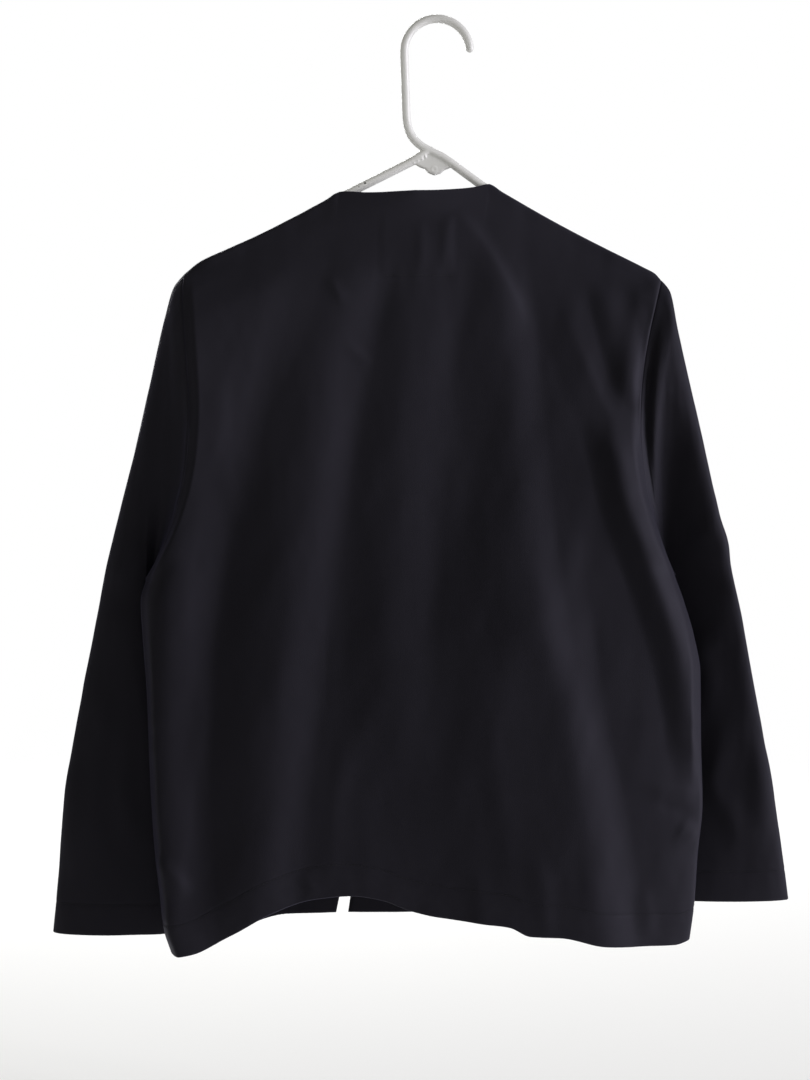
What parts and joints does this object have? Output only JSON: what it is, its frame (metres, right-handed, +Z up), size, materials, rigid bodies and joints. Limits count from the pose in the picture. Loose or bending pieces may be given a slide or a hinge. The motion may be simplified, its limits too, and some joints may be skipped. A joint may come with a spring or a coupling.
{
  "type": "collarless jacket on a tubular hanger",
  "caption": "Long-sleeved collarless jacket, open edge to edge at the front, hanging flat and empty on a moulded tubular hanger.",
  "frame": {"origin": "underside of the hanger hook's crown, where a rod or wall hook carries it", "axes": "+Z up, -Y out of the jacket's back, +Y out of its fronts, +X to the wearer's right"},
  "size_m": [0.6601, 0.1042, 0.822],
  "materials": {
    "navy_cloth": "soft matt weave with a faint sheen",
    "white_plastic": "smooth moulded, satin"
  },
  "bodies": {
    "root": {"back": "navy_cloth", "front_left": "navy_cloth", "front_right": "navy_cloth", "sleeve_left": "navy_cloth", "sleeve_right": "navy_cloth", "hanger": "white_plastic", "hanger_web": "white_plastic"}
  },
  "joints": []
}
